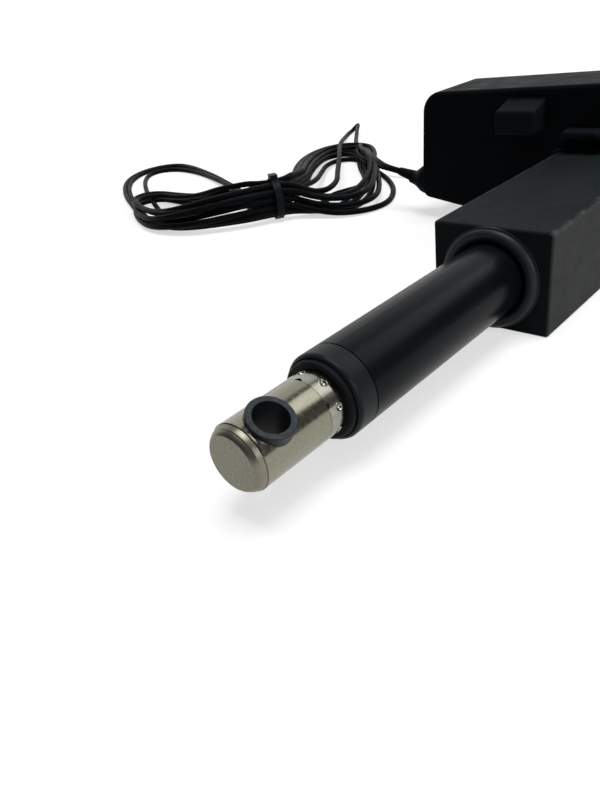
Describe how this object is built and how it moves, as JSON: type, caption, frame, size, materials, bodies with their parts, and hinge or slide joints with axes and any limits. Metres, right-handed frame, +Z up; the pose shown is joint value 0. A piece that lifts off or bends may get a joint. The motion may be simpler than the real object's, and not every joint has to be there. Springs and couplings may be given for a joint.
{
  "type": "linear actuator",
  "caption": "Electric push-pull actuator: a side motor with worm gear turns a screw that slides a round rod with a cross bore out of its tube; the cord lies folded and tied.",
  "frame": {"origin": "centre of the rear mounting bore, on the rod's axis", "axes": "+X along the rod towards its eye, the motor on the -Y side, +Z up from the flat underside and along the rear bore"},
  "size_m": [0.4652, 0.446, 0.0675],
  "materials": {
    "cap_steel": "turned, satin",
    "bush_plastic": "satin, moulded",
    "rod_chrome": "bright, fine drawn lines",
    "nut_plastic": "natural acetal",
    "screw_steel": "rolled thread",
    "fastener_steel": "zinc plated",
    "gear_plastic": "machined nylon",
    "magnet_ferrite": "sintered ferrite",
    "shaft_steel": "ground",
    "lamination_steel": "stacked laminations",
    "winding_copper": "enamelled copper",
    "can_steel": "zinc plated",
    "bearing_steel": "ground",
    "inner_plastic": "moulded",
    "brush_carbon": "pressed carbon",
    "bush_bronze": "sintered",
    "tube_black": "satin black coat",
    "ring_plastic": "satin, moulded",
    "wiper_rubber": "soft, matt",
    "collar_plastic": "satin, moulded",
    "sleeve_plastic": "satin, fine grain",
    "plate_aluminium": "die cast",
    "housing_plastic": "satin, moulded",
    "lug_aluminium": "die cast",
    "board_laminate": "circuit board",
    "boot_rubber": "moulded, satin",
    "cord_sheath": "extruded, satin",
    "tie_plastic": "moulded nylon",
    "plug_rubber": "moulded, satin",
    "pin_nickel": "nickel plated"
  },
  "bodies": {
    "frame": {"motor_can": "can_steel", "motor_front_bearing": "bearing_steel", "motor_magnets": "magnet_ferrite", "motor_end_cap": "inner_plastic", "motor_brushes": "brush_carbon", "worm_end_bush": "bush_bronze", "outer_tube": "tube_black", "guide_ring": "ring_plastic", "rod_wiper": "wiper_rubber", "front_collar": "collar_plastic", "square_sleeve": "sleeve_plastic", "bearing_plate": "plate_aluminium", "rear_bearing": "bearing_steel", "front_bearing": "bearing_steel", "lower_shell": "housing_plastic", "upper_shell": "housing_plastic", "shell_screws": "fastener_steel", "rear_lug": "lug_aluminium", "rear_bush": "bush_plastic", "position_board": "board_laminate", "cord_boot": "boot_rubber", "cord_lead": "cord_sheath", "cord_hank": "cord_sheath", "cord_tie": "tie_plastic", "cord_tail": "cord_sheath", "plug_body": "plug_rubber", "plug_pin": "pin_nickel"},
    "rod": {"rod_cap": "cap_steel", "rod_eye_bush": "bush_plastic", "rod_tube": "rod_chrome", "drive_nut": "nut_plastic"},
    "screw": {"lead_screw": "screw_steel", "screw_lock_nut": "fastener_steel", "screw_key": "fastener_steel", "worm_wheel": "gear_plastic", "magnet_ring": "magnet_ferrite"},
    "armature": {"worm": "shaft_steel", "motor_shaft": "shaft_steel", "armature_core": "lamination_steel", "armature_windings": "winding_copper", "commutator": "winding_copper"}
  },
  "joints": [
    {"name": "rod_slide", "type": "slide", "parent": "frame", "child": "rod", "axis": [1, 0, 0], "range_m": [0, 0.13]},
    {"name": "screw_spin", "type": "hinge", "parent": "frame", "child": "screw", "pos_m": [0, 0, 0], "axis": [-1, 0, 0], "range_deg": [0, 9360]},
    {"name": "motor_spin", "type": "hinge", "parent": "frame", "child": "armature", "pos_m": [0.056, 0, 0.02], "axis": [0, -1, 0], "range_deg": [0, 224640]}
  ],
  "couplings": [
    {"joint": "screw_spin", "follows": "rod_slide", "rad_per_m": 1256.6},
    {"joint": "motor_spin", "follows": "rod_slide", "rad_per_m": 30159}
  ]
}
